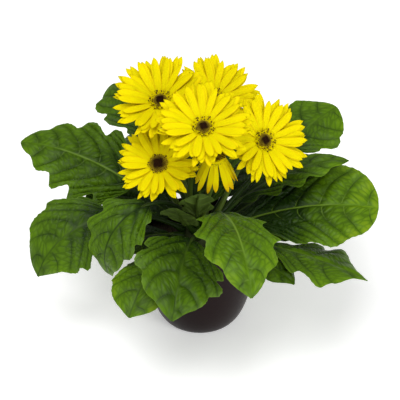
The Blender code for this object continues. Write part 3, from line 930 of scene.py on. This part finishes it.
def rib_frames(leaf):
    """Places along a leaf's rib with its forward, rightward and upward directions there."""
    spot = CROWN_CENTRE + heading(leaf.azimuth, leaf.rise) * (CROWN_RADIUS + GAP)
    frames = []
    for i in range(RIB_STEPS + 1):
        share = i / RIB_STEPS
        azimuth = leaf.azimuth + leaf.sweep * share
        forward = heading(azimuth, leaf.rise + (leaf.droop - leaf.rise) * share**leaf.bend)
        turn = math.radians(leaf.roll) * smooth(share * leaf.length / leaf.stalk)
        right = Matrix.Rotation(turn, 3, forward) @ heading(azimuth - 90, 0)
        frames.append((spot.copy(), forward, right, right.cross(forward)))
        spot += forward * (leaf.length / RIB_STEPS)
    return frames


def frame_at(frames, share):
    """The rib's frame at a share of its whole length, which stays just short of its last one."""
    at = min(share, 0.99999) * RIB_STEPS
    low = int(at)
    return [a.lerp(b, at - low) for a, b in zip(frames[low], frames[low + 1])]


def full_width(leaf, t):
    """The blade's half width at share t of its length, before lobes and teeth are cut into it."""
    power = leaf.bluntness if t > leaf.widest else BASE_BLUNTNESS
    swell = math.sin(math.pi * t ** (math.log(0.5) / math.log(leaf.widest)))
    drawn_in = 1 - leaf.tail * smooth((t - TAIL_START) / (TAIL_END - TAIL_START))
    return leaf.half_width * max(0.0, swell) ** power * drawn_in


def half_width(leaf, t, side):
    """The blade's half width at share t of its length, on its right (1) or left (-1) side."""
    turn = math.tau * (leaf.lobes * t + leaf.phase + LOBE_STAGGER * side)
    notch = (0.5 + 0.5 * math.cos(turn - LOBE_LEAN * (1 - math.cos(turn)))) ** 2
    tooth = TOOTH_DEPTH * abs(math.sin(TEETH_IN_LOBE * turn / 2 + side + 2 * math.sin(turn / 3)))
    depth = leaf.lobe_depth * (LOBE_DEPTH_AT_BASE - LOBE_DEPTH_LOSS * t)
    return max(TIP_HALF_WIDTH, full_width(leaf, t) * (1 - depth * notch - tooth))


def wander(leaf, t, across):
    """A slow steady drift from -1 to 1 over the blade, different from leaf to leaf."""
    return noise.noise(Vector((WANDER_ALONG * t, WANDER_ACROSS * across, leaf.azimuth)))


def vein_count(leaf, t, across):
    """Counts the lateral veins: it is whole on a vein, which runs forward from rib to margin."""
    edge = abs(across)
    landing = t + VEIN_SWEEP * (1 - t) * (1 - edge**VEIN_CURVE)
    side = max(-1.0, min(1.0, across / STAGGER_REACH))
    count = leaf.veins * (leaf.lobes * landing + leaf.phase + LOBE_STAGGER * side + 0.5)
    return count + VEIN_WANDER * wander(leaf, t, across)


def relief(leaf, across, width, t, veins, settings):
    """Height of the skin over the blade's middle surface: low on the veins, full between them."""
    off_rib = abs(across) * width
    free = smooth(off_rib / RIB_CLEARANCE) * smooth((1 - abs(across)) * width / SMOOTH_RIM)
    free *= smooth(t / SMOOTH_START) * smooth((1 - t) / SMOOTH_TIP)
    between = abs(math.sin(math.pi * veins)) ** 0.5
    place = Vector((SWELLS_BETWEEN_VEINS * veins, across * width / SWELL_SPACING, leaf.azimuth))
    swell = noise.noise(place)
    quilt = settings.pillow * (between - 0.5) + settings.swell_height * swell * between
    groove = settings.rib_groove * math.exp(-((off_rib / RIB_GROOVE_WIDTH) ** 2))
    return leaf.quilt * quilt * free - groove


def blade_corner(leaf, frames, settings, across, t, lift):
    """A corner of the blade and its numbers, in the order of LEAF_NUMBERS."""
    spot, forward, right, up = frame_at(frames, (leaf.stalk + leaf.blade * t) / leaf.length)
    width = half_width(leaf, t, math.copysign(1, across))
    edge = abs(across)
    wave = math.cos(math.tau * leaf.lobes * t + math.copysign(RUFFLE_STAGGER, across))
    rise = width * (leaf.cup * edge**CUP_CURVE + RUFFLE * wave * edge**2)
    ahead = MARGIN_FORWARD * width * edge**MARGIN_CURVE * (1 - t)
    veins = vein_count(leaf, t, across * width / max(width, full_width(leaf, t)))
    rise += relief(leaf, across, width, t, veins, settings) + lift
    corner = spot + right * (across * width) + forward * ahead + up * rise
    run = VEIN_SHARE_ALONG * t * leaf.blade + VEIN_SHARE_OUT * edge * width
    return corner, t, edge, edge * width, veins, run, leaf.tone, leaf.pale, leaf.shade


def rib_corner(leaf, frames, settings, x, y):
    """A corner of the stalk and of the rib that runs on from it under the blade."""
    share = RIB_REACH * y
    along = share * leaf.length
    t = (along - leaf.stalk) / leaf.blade
    spot, _, right, up = frame_at(frames, share)
    if t < 0:
        flare = 1 + STALK_FOOT_FLARE * (1 - smooth(along / STALK_FOOT_REACH))
        radius = STALK_RADIUS * flare * (1 - (1 - STALK_TAPER) * share * leaf.length / leaf.stalk)
    else:
        radius = STALK_RADIUS * STALK_TAPER * (1 - t) + RIB_TIP_RADIUS * t
    # Only a pale rib stands out of its fold, and less so towards the tip.
    shows = RIB_SHOWS * min(1.0, 3 * leaf.pale - 1 - 1.5 * smooth((t - 0.4) / 0.4))
    sunk = (radius + settings.rib_groove - shows) * smooth(t / RIB_SINKS_OVER)
    turn = math.pi * x
    around = right * math.sin(turn) + up * math.cos(turn)
    corner = spot + around * radius - up * sunk
    up_stalk = min(t * leaf.blade / leaf.stalk, t)
    return corner, up_stalk, 0.0, 0.0, 0.5, 0.0, leaf.tone, leaf.pale, leaf.shade


def make_leaf(leaf, settings, materials):
    """One leaf: a quilted blade with an underside, and its stalk and rib."""
    frames = rib_frames(leaf)
    bm = bmesh.new()
    across = 2 * round(leaf.half_width / settings.cell)
    along = round(leaf.blade / settings.cell)
    place = partial(blade_corner, leaf, frames, settings)
    add_blade(bm, across, along, place, settings.thickness, LEAF_NUMBERS)
    steps = round(leaf.length / STALK_CELL)
    place = partial(rib_corner, leaf, frames, settings)
    for face in add_tube(bm, STALK_SIDES, steps, place, LEAF_NUMBERS):
        face.material_index = 2
    piece_from(bm, leaf.name + "_grown", materials, leaf.name)


def bloom_piece_from(bm, bloom, name, materials, part):
    """Stands a bmesh on its bloom's stem and finishes it for that part of the bloom."""
    way = heading(bloom.facing, bloom.tilt)
    bmesh.ops.transform(bm, matrix=standing_at(bloom.place, way), verts=bm.verts)
    piece_from(bm, f"{bloom.name}_{name}", materials, f"{bloom.name}_{part}")


def on_spoke(turn, radius, aside, height):
    """The point at that turn, distance from a bloom's axis and height, moved aside to its right."""
    outward = at_turn(turn, 1.0, 0.0)
    sideways = Vector((outward.y, -outward.x, 0.0))
    return outward * radius + sideways * aside + Vector((0.0, 0.0, height))


def ray_middle(bloom, row, index, share):
    """(distance from the axis, height) of a ray's middle line at a share of its length."""
    _, row_length, row_pitch, root = RAY_ROWS[row]
    row_length += RAY_LENGTH_SPREAD * scatter(index, row + 1)
    length = (bloom.radius - CORE_RADIUS) * row_length
    pitch = math.radians(bloom.lift + row_pitch + RAY_LIFT_SPREAD * scatter(index, row + 3))
    sag = RAY_SAG * share**2 * length
    height = CORE_HEIGHT * root + length * share * math.sin(pitch) - sag
    return CORE_RADIUS + length * share * math.cos(pitch), height


def ray_outline(u):
    """A ray's half width at share u of its length, as a share of its widest."""
    body = RAY_ROOT_SHARE + (1 - RAY_ROOT_SHARE) * smooth(u / RAY_WIDEST)
    past = max(0.0, u - RAY_TIP_START) / (1 - RAY_TIP_START)
    return body * max(RAY_TIP_LEAST, (1 - past**RAY_TIP_ROUNDNESS) ** RAY_TIP_TAPER)


def ray_corner(bloom, half, row, index, x, u, lift):
    """A corner of one ray and its numbers, in the order of PETAL_NUMBERS."""
    turn = math.tau * (index + RAY_ROWS[row][0] + FIRST_RAY_TURN) / RAYS_IN_ROW
    turn += RAY_TURN_SPREAD * scatter(index, row + 17)
    reach = 1 - RAY_SHORTFALL * (1 + scatter(index, row + 19))
    radius, height = ray_middle(bloom, row, index, u * reach)
    width = half * ray_outline(u) * (1 + RAY_WIDTH_SPREAD * scatter(index, row + 29))
    ridge = math.cos(RAY_GROOVES * math.pi * x)
    notch = RAY_NOTCH * smooth((u - 0.9) / 0.1) * (0.5 - 0.5 * ridge)
    radius -= (1 - u) ** 4 * RAY_ROOT_DEPTH + notch
    fold = RAY_FOLD * (1 + RAY_FOLD_SPREAD * scatter(index, row + 7)) * u
    channel = RAY_CHANNEL * (1 - u) ** 2 - fold
    ripple = RAY_GROOVE * ridge * smooth(u / 0.2) * smooth((1 - u) / 0.1)
    twist = RAY_TWIST * scatter(index, row + 11) * smooth(u)
    height += lift + width * x**2 * channel + ripple + width * x * math.sin(twist)
    aside = x * width * math.cos(twist) + RAY_SWAY * scatter(index, row + 5) * u**2
    # The blush on a few petals, plus the bloom's painted warm light.
    blush = max(0.0, scatter(index, row + 9) - BLUSHED_ABOVE) + bloom.painted_warm_light
    return on_spoke(turn, radius, aside, height), u, x, blush


def floret_spot(bloom, ring, index, u):
    """(turn, distance from the axis, height) on the middle of a short floret beside the eye."""
    count, start, length, pitch = FLORET_RINGS[ring]
    turn = math.tau * (index + 0.5 * ring + FLORET_TURN_SPREAD * scatter(index, ring + 13)) / count
    reach = length * (1 + FLORET_LENGTH_SPREAD * scatter(index, ring + 15)) * u
    lean = math.radians(pitch - FLORET_BEND * u)
    start *= 1 + 0.5 * DISC_SPREAD_WHEN_RIPE * bloom.ripeness
    reach *= 1 - FLORET_SHORTER_WHEN_RIPE * bloom.ripeness
    return turn, start + reach * math.cos(lean), CORE_HEIGHT + GAP + reach * math.sin(lean)


def floret_corner(bloom, ring, index, x, u, lift):
    """A corner of one of the short florets that stand round the eye."""
    turn, radius, height = floret_spot(bloom, ring, index, u)
    width = FLORET_HALF_WIDTH * (0.6 + 0.4 * math.sin(math.pi * u)) * math.sqrt(max(0.05, 1 - u**4))
    height += 0.5 * width * x**2 + lift
    return on_spoke(turn, radius, x * width, height), u, x, 0.0


def add_ring(bm, count, cells, names, corner, row):
    """Adds a ring of thin blades, which have their corners at corner(row, index, x, y, lift)."""
    for index in range(count):
        add_blade(bm, *cells, partial(corner, row, index), PETAL_THICKNESS, names)


def make_rays(bloom, settings, materials):
    """The rows of ray petals, the short florets inside them and the core that they stand on."""
    half = settings.ray_half_width * bloom.radius / FULL_RADIUS
    core = [(0.0, 0.0), (CORE_RADIUS, 0.0), (CORE_RADIUS, CORE_HEIGHT), (0.0, CORE_HEIGHT)]
    bm = turned(core, CUP_SIDES)
    for row in range(bloom.rows):
        add_ring(bm, RAYS_IN_ROW, RAY_CELLS, PETAL_NUMBERS, partial(ray_corner, bloom, half), row)
    for row, (count, *_) in enumerate(FLORET_RINGS):
        add_ring(bm, count, FLORET_CELLS, PETAL_NUMBERS, partial(floret_corner, bloom), row)
    bloom_piece_from(bm, bloom, "petals", materials, "rays")


def add_bud(bm, place, outward, size, stretch, tone):
    """A small egg of a few faces that points along outward."""
    shape = standing_at(place, outward) @ Matrix.Diagonal((size, size, size * stretch, 1.0))
    layer = number_layer(bm, "tone")
    verts = bmesh.ops.create_icosphere(bm, subdivisions=1, radius=1.0, matrix=shape)["verts"]
    for vert in verts:
        vert[layer] = tone
    return {face for vert in verts for face in vert.link_faces}


def add_disc(bm, bloom):
    """The disc's florets, in the spiral that they grow in: closed in the middle, open outside."""
    radius = DISC_RADIUS * (1 + DISC_SPREAD_WHEN_RIPE * bloom.ripeness)
    for index in range(DISC_FLORETS):
        share = math.sqrt((index + 0.5) / DISC_FLORETS)
        turn = index * GOLDEN_TURN
        level = DISC_HEIGHT * (1 - share**DISC_ROUNDNESS)
        level -= DISC_DIMPLE * (1 - smooth(share / DISC_DIMPLE_RADIUS))
        lean = at_turn(turn, 0.7 * share, 1.0).normalized()
        size = (BUD_SIZE + BUD_GROWTH * share) * (1 + 0.2 * bloom.ripeness)
        tone = min(share, 1 - 0.16 * bloom.ripeness) + 0.07 * scatter(index, 31)
        place = at_turn(turn, radius * share, CORE_HEIGHT + GAP + level)
        add_bud(bm, place, lean, size, BUD_STRETCH, tone)


def add_specks(bm, bloom):
    """Dark pollen tips at the ends of most of the short florets."""
    for ring, (count, *_) in enumerate(FLORET_RINGS):
        for index in range(count):
            if scatter(index, ring + 21) > 2 * SPECK_SHARES[ring] - 1:
                continue
            turn, radius, height = floret_spot(bloom, ring, index, 0.96)
            lean = at_turn(turn, 0.8, 1.0).normalized()
            size = SPECK_SIZE * (1 + SPECK_SIZE_SPREAD * scatter(index, ring + 25))
            place = at_turn(turn, radius, height + 0.5 * size)
            for face in add_bud(bm, place, lean, size, SPECK_STRETCH, 0.0):
                face.material_index = 1


def make_eye(bloom, materials):
    """The eye: a low core under a spiral of florets, and the specks round it."""
    rise = DISC_CORE_SHARE * DISC_HEIGHT
    bm = turned(dome(DISC_RADIUS, rise, CORE_HEIGHT + GAP, DISC_BANDS), DISC_SIDES)
    add_disc(bm, bloom)
    add_specks(bm, bloom)
    bloom_piece_from(bm, bloom, "florets", materials, "eye")


def cup_radius(depth):
    """The cup's radius at a depth below the core."""
    foot = CUP_FOOT_FLARE * STEM_RADIUS * STEM_TOP_SHARE
    line = [(0.0, CUP_RADIUS)]
    line += [(down * CUP_DEPTH, across * CUP_RADIUS) for across, down in reversed(CUP_PROFILE)]
    line += [(CUP_DEPTH, foot)]
    for (low, wide), (high, narrow) in zip(line, line[1:]):
        if depth <= high:
            return wide + (narrow - wide) * (depth - low) / (high - low)
    return foot


def bract_corner(bloom, row, index, x, u, lift):
    """A corner of a bract, which hugs the cup and then points out under the petals."""
    turn = math.tau * (index + 0.5 * row) / BRACTS_IN_ROW
    reach = bloom.bract_reach * (1 + 0.2 * row)
    on_cup = min(1.0, u / BRACT_ON_CUP)
    past = max(0.0, u - BRACT_ON_CUP) / (1 - BRACT_ON_CUP)
    depth = CUP_DEPTH * (BRACT_ROOT - BRACT_ROW_STEP * row) * (1 - on_cup) + BRACT_BEND * (1 + row)
    radius = cup_radius(depth) + BRACT_CLEARANCE + reach * past
    width = BRACT_HALF_WIDTH * math.sin(math.pi * min(0.5, 0.18 + 0.5 * u)) * (1 - 0.85 * past)
    depth += BRACT_SAG * past * (1 - past)
    corner = on_spoke(turn, radius - 0.4 * width * x * x + lift, x * width, -depth)
    # It is painted as the stem is near its top.
    return corner, 0.9, x


def make_bracts(bloom, materials):
    """The green cup under the rays, with two rows of narrow bracts on it."""
    depths = [CUP_DEPTH * i / CUP_BANDS for i in range(CUP_BANDS, 0, -1)]
    side = [(cup_radius(depth), -depth) for depth in depths]
    bm = turned([(0.0, -CUP_DEPTH), *side, (CUP_RADIUS, -GAP), (0.0, -GAP)], CUP_SIDES)
    for row in (0, 1):
        add_ring(bm, BRACTS_IN_ROW, BRACT_CELLS, STEM_NUMBERS, partial(bract_corner, bloom), row)
    bloom_piece_from(bm, bloom, "cup", materials, "bracts")


def stem_line(bloom):
    """Frames up a flower stem: a spot and two directions square to the stem there."""
    start_way = heading(bloom.stem_azimuth, bloom.stem_rise)
    end_way = heading(bloom.facing, bloom.tilt)
    start = CROWN_CENTRE + start_way * (CROWN_RADIUS + GAP)
    end = Vector(bloom.place) - end_way * (CUP_DEPTH + GAP)
    reach = (end - start).length
    low = start + start_way * reach * STEM_FOOT_PULL
    high = end - end_way * reach * STEM_TOP_PULL
    side = start_way.orthogonal().normalized()
    frames = []
    for i in range(STEM_STEPS + 1):
        t = i / STEM_STEPS
        left = 1 - t
        spot = left**3 * start + 3 * t * left**2 * low + 3 * t**2 * left * high + t**3 * end
        way = left**2 * (low - start) + 2 * t * left * (high - low) + t**2 * (end - high)
        side = (side - way * (side.dot(way) / way.length_squared)).normalized()
        frames.append((spot, side, way.normalized().cross(side)))
    return frames


def stem_corner(frames, x, y):
    """A corner of a stem's ridged skin, and its shares of the way up and round."""
    spot, side, other = frames[round(y * STEM_STEPS)]
    flare = 1 + STEM_FOOT_FLARE * (1 - smooth(y / STEM_FOOT_SHARE))
    radius = STEM_RADIUS * (1 - (1 - STEM_TOP_SHARE) * y) * flare
    radius *= 1 + STEM_RIDGE_DEPTH * math.sin(STEM_RIDGES * math.pi * x)
    around = side * math.cos(math.pi * x) + other * math.sin(math.pi * x)
    return spot + around * radius, y, 0.5 + 0.5 * x


def make_stem(bloom, materials):
    """A ridged tapering stem, thicker where it leaves the crown."""
    bm = bmesh.new()
    add_tube(bm, STEM_SIDES, STEM_STEPS, partial(stem_corner, stem_line(bloom)), STEM_NUMBERS)
    piece_from(bm, bloom.name + "_stalk", materials, bloom.name + "_stem")


def make_camera(settings):
    """The camera at the photograph's angle."""
    lens = bpy.data.cameras.new("camera")
    lens.sensor_width = 36.0
    lens.lens = settings.lens
    camera = add_object("camera", lens)
    pitch = settings.elevation
    back = Vector((0.0, -math.cos(pitch), math.sin(pitch)))
    camera.location = Vector((0.0, 0.0, settings.middle)) + back * settings.distance
    camera.rotation_euler = (math.pi / 2 - pitch, 0.0, 0.0)
    bpy.context.scene.camera = camera


def make_floor(settings):
    bm = bmesh.new()
    bmesh.ops.create_grid(bm, x_segments=8, y_segments=8, size=FLOOR_REACH)
    bmesh.ops.translate(bm, verts=bm.verts, vec=(0.0, 0.0, -FLOOR_DROP))
    add_object("floor", mesh_from(bm, "floor", [floor_material(settings)]))


def light_air(settings):
    """Even white light from all round."""
    world = bpy.data.worlds.new("air")
    world.use_nodes = True
    air = world.node_tree.nodes["Background"]
    air.inputs["Color"].default_value = (1.0, 1.0, 1.0, 1.0)
    air.inputs["Strength"].default_value = settings.sky
    bpy.context.scene.world = world


def add_lights(settings):
    """Square soft lights that look at the plant's middle."""
    for name, (place, side) in LIGHTS.items():
        light = bpy.data.lights.new(name + "_light", "AREA")
        light.energy = getattr(settings, name)
        light.size = side
        lamp = add_object(name + "_light", light)
        lamp.location = place
        lamp.rotation_euler = (LIGHTS_AIM - Vector(place)).to_track_quat("-Z", "Y").to_euler()


class DAISY_OT_stage(Operator):
    """Make the floor, the soft lights and the camera"""

    bl_idname = "daisy.stage"
    bl_label = "Stage"

    def execute(self, context):
        settings = context.scene.daisy_stage
        make_camera(settings)
        make_floor(settings)
        light_air(settings)
        add_lights(settings)
        context.scene.view_settings.view_transform = "Standard"
        return {"FINISHED"}


class DAISY_OT_pot(Operator):
    """Turn the pot"""

    bl_idname = "daisy.pot"
    bl_label = "Pot"

    def execute(self, context):
        make_pot(context.scene.daisy_pot)
        return {"FINISHED"}


class DAISY_OT_soil(Operator):
    """Fill the pot with potting mix"""

    bl_idname = "daisy.soil"
    bl_label = "Potting mix"

    def execute(self, context):
        make_soil(context.scene.daisy_pot)
        return {"FINISHED"}


class DAISY_OT_crown(Operator):
    """Shape the crown that leaves and stems grow from"""

    bl_idname = "daisy.crown"
    bl_label = "Crown"

    def execute(self, context):
        make_crown(context.scene.daisy_leaves)
        return {"FINISHED"}


class DAISY_OT_leaves(Operator):
    """Grow the rosette of leaves"""

    bl_idname = "daisy.leaves"
    bl_label = "Leaves"

    def execute(self, context):
        settings = context.scene.daisy_leaves
        kinds = (leaf_material, underside_material, stalk_material)
        materials = [kind(settings) for kind in kinds]
        for leaf in LEAVES:
            make_leaf(leaf, settings, materials)
        return {"FINISHED"}


class DAISY_OT_stems(Operator):
    """Grow the flower stems and the bracts at their tops"""

    bl_idname = "daisy.stems"
    bl_label = "Stems and bracts"

    def execute(self, context):
        materials = [stem_material(context.scene.daisy_blooms)] * BLADE_SKINS
        for bloom in BLOOMS:
            make_stem(bloom, materials)
            make_bracts(bloom, materials)
        return {"FINISHED"}


class DAISY_OT_petals(Operator):
    """Open the ray petals and inner florets"""

    bl_idname = "daisy.petals"
    bl_label = "Petals"

    def execute(self, context):
        settings = context.scene.daisy_blooms
        materials = [ray_material(settings)] * BLADE_SKINS
        for bloom in BLOOMS:
            make_rays(bloom, settings, materials)
        return {"FINISHED"}


class DAISY_OT_eyes(Operator):
    """Fill the blooms' eyes with florets"""

    bl_idname = "daisy.eyes"
    bl_label = "Eyes"

    def execute(self, context):
        settings = context.scene.daisy_blooms
        materials = [eye_material(settings), speck_material(settings)]
        for bloom in BLOOMS:
            make_eye(bloom, materials)
        return {"FINISHED"}


OPERATORS = (
    DAISY_OT_stage, DAISY_OT_pot, DAISY_OT_soil, DAISY_OT_crown, DAISY_OT_leaves, DAISY_OT_stems,
    DAISY_OT_petals, DAISY_OT_eyes,
)
SETTINGS = {
    "daisy_pot": PotSettings,
    "daisy_leaves": LeafSettings,
    "daisy_blooms": BloomSettings,
    "daisy_stage": StageSettings,
}


class DAISY_PT_panel(Panel):
    """Lists the plant's operators and their settings"""

    bl_label = "Potted daisy"
    bl_idname = "DAISY_PT_panel"
    bl_space_type = "VIEW_3D"
    bl_region_type = "UI"
    bl_category = "Daisy"

    def draw(self, context):
        for operator in OPERATORS:
            self.layout.operator(operator.bl_idname)
        for name, group in SETTINGS.items():
            box = self.layout.box()
            for setting in group.__annotations__:
                box.prop(getattr(context.scene, name), setting)


CLASSES = (*SETTINGS.values(), *OPERATORS, DAISY_PT_panel)


def register():
    for cls in CLASSES:
        bpy.utils.register_class(cls)
    for name, group in SETTINGS.items():
        setattr(bpy.types.Scene, name, PointerProperty(type=group))


def unregister():
    for name in SETTINGS:
        delattr(bpy.types.Scene, name)
    for cls in reversed(CLASSES):
        bpy.utils.unregister_class(cls)


def main():
    register()
    for operator in OPERATORS:
        category, name = operator.bl_idname.split(".")
        getattr(getattr(bpy.ops, category), name)()


if __name__ == "__main__":
    main()
